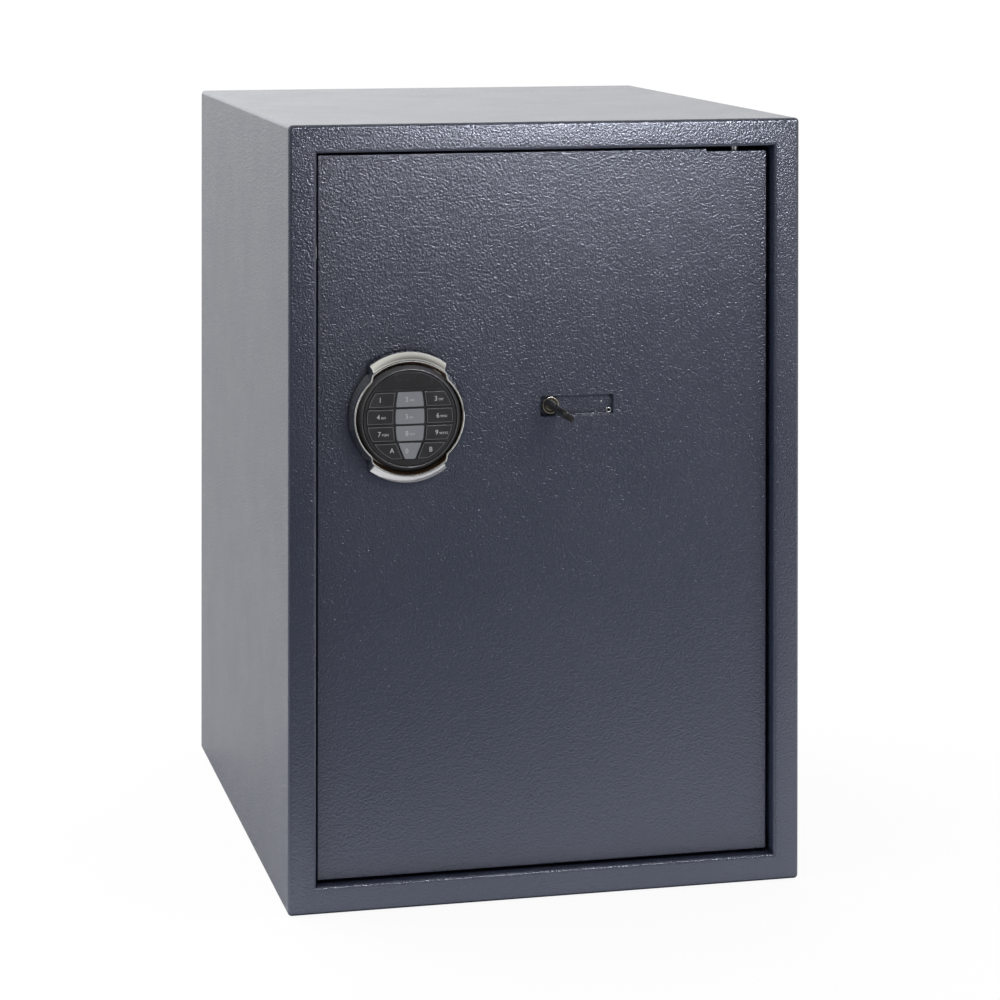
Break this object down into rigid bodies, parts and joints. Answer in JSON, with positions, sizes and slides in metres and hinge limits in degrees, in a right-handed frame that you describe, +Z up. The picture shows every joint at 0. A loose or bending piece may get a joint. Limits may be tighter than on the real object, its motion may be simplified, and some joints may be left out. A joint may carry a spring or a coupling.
{
  "type": "in-room safe",
  "caption": "In-room safe with a hinged steel door, a turning chrome ring around an electronic keypad that throws the door bolts, and a key-operated emergency lock.",
  "frame": {"origin": "centre of the base's footprint, on the floor", "axes": "+Z up, the door faces -Y, the door's hinge is on the +X side"},
  "size_m": [0.38, 0.479, 0.56],
  "materials": {
    "slate_paint": "fine orange-peel texture, satin",
    "black_paint": "satin",
    "chrome": "polished plate",
    "steel": "turned",
    "zinc": "zinc plated",
    "brass": "nickel-washed brass",
    "black_plastic": "moulded, fine grain",
    "smoked_plastic": "gloss",
    "grey_plastic": "blue-grey film",
    "dark_felt": "felt",
    "green_board": "lacquered laminate",
    "battery_wrap": "shrink wrap",
    "red_plastic": "gloss"
  },
  "bodies": {
    "safe": {"body_shell": "slate_paint", "back_panel": "slate_paint", "shelf": "slate_paint", "shelf_rail_left": "zinc", "shelf_rail_right": "zinc", "floor_mat": "dark_felt", "hinge_plate_bottom": "zinc", "hinge_plate_top": "zinc"},
    "door": {"door_plate": "slate_paint", "door_tray": "black_paint", "tray_screw_bottom_left": "zinc", "tray_screw_bottom_right": "zinc", "tray_screw_top_left": "zinc", "tray_screw_top_right": "zinc", "hinge_block_bottom": "slate_paint", "hinge_block_top": "slate_paint", "hinge_pin_bottom": "steel", "hinge_pin_top": "steel", "bolt_guide": "zinc", "spindle_bush": "zinc", "keypad_bezel": "black_plastic", "keypad_plate": "black_plastic", "keypad_window": "smoked_plastic", "keypad_stem": "zinc", "lock_barrel": "brass", "lock_nut": "zinc", "solenoid_body": "zinc", "battery_holder": "black_plastic", "battery_1": "battery_wrap", "battery_2": "battery_wrap", "battery_3": "battery_wrap", "battery_4": "battery_wrap", "circuit_board": "green_board"},
    "ring": {"turn_ring": "chrome", "ring_spindle": "steel", "crank_disc": "zinc"},
    "bolt_work": {"bolt_carriage": "zinc", "bolt_bottom": "chrome", "bolt_middle": "chrome", "bolt_top": "chrome"},
    "latch": {"solenoid_plunger": "steel"},
    "plug": {"lock_plug": "brass", "lock_cam": "zinc"},
    "emergency_key": {"key_blade": "steel", "key_bow": "black_plastic"},
    "battery_lid": {"battery_cover": "black_plastic"},
    "reset": {"reset_button": "red_plastic"},
    "button_1": {"key_1": "black_plastic"},
    "button_2": {"key_2": "grey_plastic"},
    "button_3": {"key_3": "black_plastic"},
    "button_4": {"key_4": "black_plastic"},
    "button_5": {"key_5": "grey_plastic"},
    "button_6": {"key_6": "black_plastic"},
    "button_7": {"key_7": "black_plastic"},
    "button_8": {"key_8": "grey_plastic"},
    "button_9": {"key_9": "black_plastic"},
    "button_a": {"key_a": "black_plastic"},
    "button_0": {"key_0": "grey_plastic"},
    "button_b": {"key_b": "black_plastic"}
  },
  "joints": [
    {"name": "door_swing", "type": "hinge", "parent": "safe", "child": "door", "pos_m": [0.145, -0.2035, 0.28], "axis": [0, 0, 1], "range_deg": [0, 105]},
    {"name": "ring_turn", "type": "hinge", "parent": "door", "child": "ring", "pos_m": [-0.1035, -0.2135, 0.3506], "axis": [0, -1, 0], "range_deg": [0, 90]},
    {"name": "bolt_throw", "type": "slide", "parent": "door", "child": "bolt_work", "axis": [-1, 0, 0], "range_m": [0, 0.0201]},
    {"name": "latch_drop", "type": "slide", "parent": "door", "child": "latch", "axis": [0, 0, -1], "range_m": [0, 0.005]},
    {"name": "key_turn", "type": "hinge", "parent": "door", "child": "plug", "pos_m": [0.0038, -0.2135, 0.3537], "axis": [0, 1, 0], "range_deg": [-42, 48]},
    {"name": "key_withdraw", "type": "slide", "parent": "plug", "child": "emergency_key", "axis": [0, -1, 0], "range_m": [0, 0.035]},
    {"name": "battery_cover_slide", "type": "slide", "parent": "door", "child": "battery_lid", "axis": [0, 0, -1], "range_m": [0, 0.085]},
    {"name": "reset_press", "type": "slide", "parent": "door", "child": "reset", "axis": [0, -1, 0], "range_m": [0, 0.002]},
    {"name": "press_1", "type": "slide", "parent": "door", "child": "button_1", "axis": [0, 1, 0], "range_m": [0, 0.0005]},
    {"name": "press_2", "type": "slide", "parent": "door", "child": "button_2", "axis": [0, 1, 0], "range_m": [0, 0.0005]},
    {"name": "press_3", "type": "slide", "parent": "door", "child": "button_3", "axis": [0, 1, 0], "range_m": [0, 0.0005]},
    {"name": "press_4", "type": "slide", "parent": "door", "child": "button_4", "axis": [0, 1, 0], "range_m": [0, 0.0005]},
    {"name": "press_5", "type": "slide", "parent": "door", "child": "button_5", "axis": [0, 1, 0], "range_m": [0, 0.0005]},
    {"name": "press_6", "type": "slide", "parent": "door", "child": "button_6", "axis": [0, 1, 0], "range_m": [0, 0.0005]},
    {"name": "press_7", "type": "slide", "parent": "door", "child": "button_7", "axis": [0, 1, 0], "range_m": [0, 0.0005]},
    {"name": "press_8", "type": "slide", "parent": "door", "child": "button_8", "axis": [0, 1, 0], "range_m": [0, 0.0005]},
    {"name": "press_9", "type": "slide", "parent": "door", "child": "button_9", "axis": [0, 1, 0], "range_m": [0, 0.0005]},
    {"name": "press_a", "type": "slide", "parent": "door", "child": "button_a", "axis": [0, 1, 0], "range_m": [0, 0.0005]},
    {"name": "press_0", "type": "slide", "parent": "door", "child": "button_0", "axis": [0, 1, 0], "range_m": [0, 0.0005]},
    {"name": "press_b", "type": "slide", "parent": "door", "child": "button_b", "axis": [0, 1, 0], "range_m": [0, 0.0005]}
  ],
  "couplings": [
    {"joint": "bolt_throw", "follows": "ring_turn", "m_per_rad": 0.012732}
  ]
}
